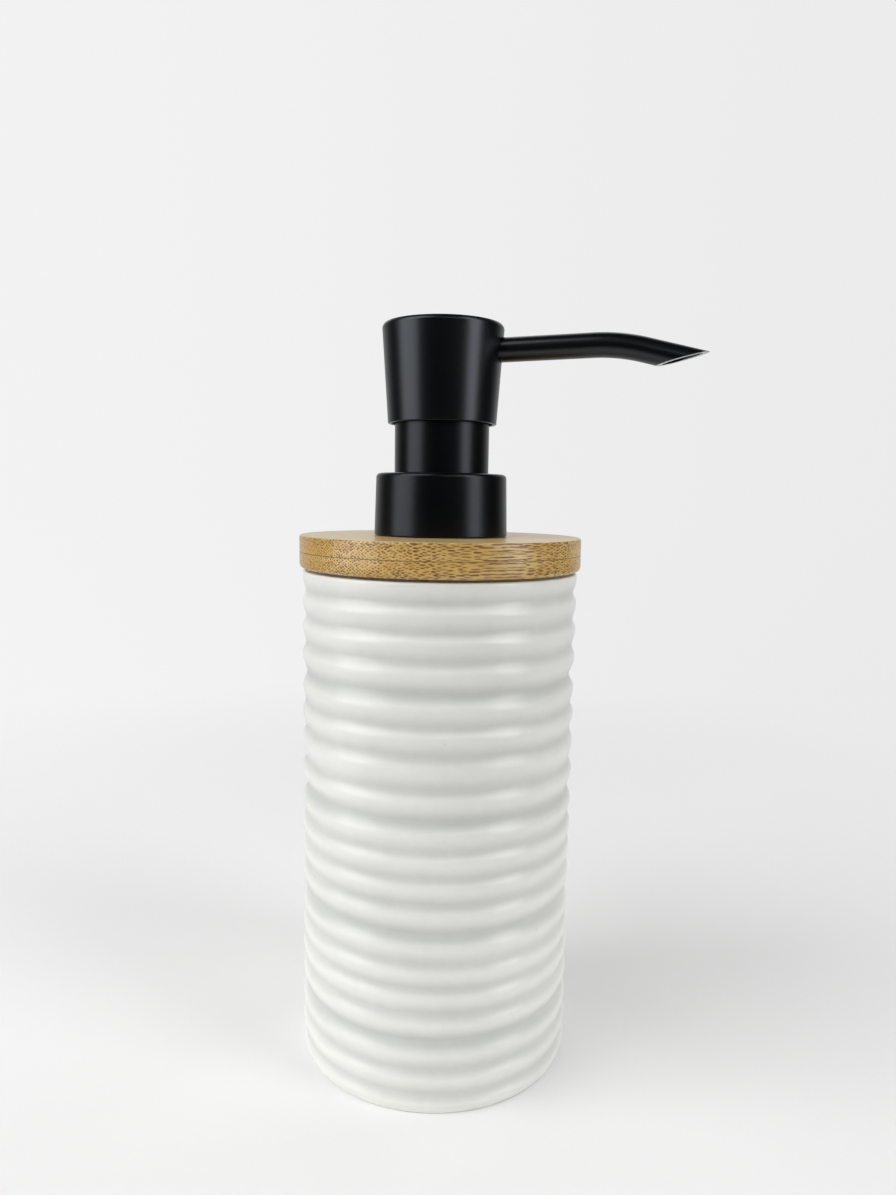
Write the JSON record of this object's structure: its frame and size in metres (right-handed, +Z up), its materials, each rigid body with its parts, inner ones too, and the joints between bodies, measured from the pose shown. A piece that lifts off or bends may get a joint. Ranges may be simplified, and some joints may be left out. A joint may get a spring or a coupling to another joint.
{
  "type": "soap pump dispenser",
  "caption": "Ribbed ceramic bottle with a bamboo lid and a black press pump: pushing the head draws soap up a dip tube and out of a bent spout.",
  "frame": {"origin": "centre of the bottle's flat foot, on the plane it stands on", "axes": "+Z up along the axis of the bottle and pump, +X towards the spout's tip at rest, +Y completes a right-handed frame"},
  "size_m": [0.1059, 0.075, 0.196],
  "materials": {
    "glaze": "matt off-white glaze with fine dark specks",
    "bamboo": "satin oiled bamboo, plies glued together",
    "black_coat": "satin black powder coat on thin steel",
    "black_plastic": "moulded black polypropylene",
    "white_plastic": "moulded natural polypropylene",
    "piston_plastic": "soft moulded polyethylene",
    "clear_tube": "extruded natural polyethylene tube",
    "silicone": "translucent silicone",
    "ball_steel": "bright stainless steel"
  },
  "bodies": {
    "bottle": {"bottle": "glaze"},
    "lid": {"lid_upper_ply": "bamboo", "lid_lower_ply": "bamboo", "lid_plug": "bamboo", "lid_seal_ring": "silicone", "neck_bushing": "black_plastic"},
    "pump": {"pump_cylinder": "white_plastic", "stem_guide": "white_plastic", "neck_gasket": "silicone", "dip_tube": "clear_tube"},
    "collar": {"collar_shell": "black_coat", "collar_insert": "black_plastic", "sleeve": "black_coat"},
    "inlet_valve": {"inlet_ball": "ball_steel"},
    "spring": {"main_spring": "ball_steel"},
    "plunger": {"piston_stem": "white_plastic", "piston_rod": "white_plastic", "head_core": "black_plastic", "head_shell": "black_coat", "spout_tube": "black_coat"},
    "piston": {"piston_seal": "piston_plastic"},
    "outlet_valve": {"outlet_ball": "ball_steel"}
  },
  "joints": [
    {"name": "lid_lift", "type": "slide", "parent": "bottle", "child": "lid", "axis": [0, 0, 1], "range_m": [0, 0.13]},
    {"name": "pump_unscrew_lift", "type": "slide", "parent": "lid", "child": "pump", "axis": [0, 0, 1], "range_m": [0, 0.00635]},
    {"name": "collar_turn", "type": "hinge", "parent": "pump", "child": "collar", "pos_m": [0, 0, 0.149], "axis": [0, 0, 1], "range_deg": [0, 540.1]},
    {"name": "inlet_ball_lift", "type": "slide", "parent": "pump", "child": "inlet_valve", "axis": [0, 0, 1], "range_m": [0, 0.0018]},
    {"name": "head_swivel", "type": "hinge", "parent": "pump", "child": "spring", "pos_m": [0, 0, 0.149], "axis": [0, 0, 1], "continuous": true},
    {"name": "head_press", "type": "slide", "parent": "spring", "child": "plunger", "axis": [0, 0, -1], "range_m": [0, 0.012], "stiffness_N_per_m": 800, "springref_m": -0.01, "deforming": ["main_spring"]},
    {"name": "piston_shift", "type": "slide", "parent": "plunger", "child": "piston", "axis": [0, 0, 1], "range_m": [0, 0.0012]},
    {"name": "outlet_ball_lift", "type": "slide", "parent": "plunger", "child": "outlet_valve", "axis": [0, 0, 1], "range_m": [0, 0.0016]}
  ],
  "couplings": [
    {"joint": "collar_turn", "follows": "pump_unscrew_lift", "rad_per_m": 1484.2}
  ]
}
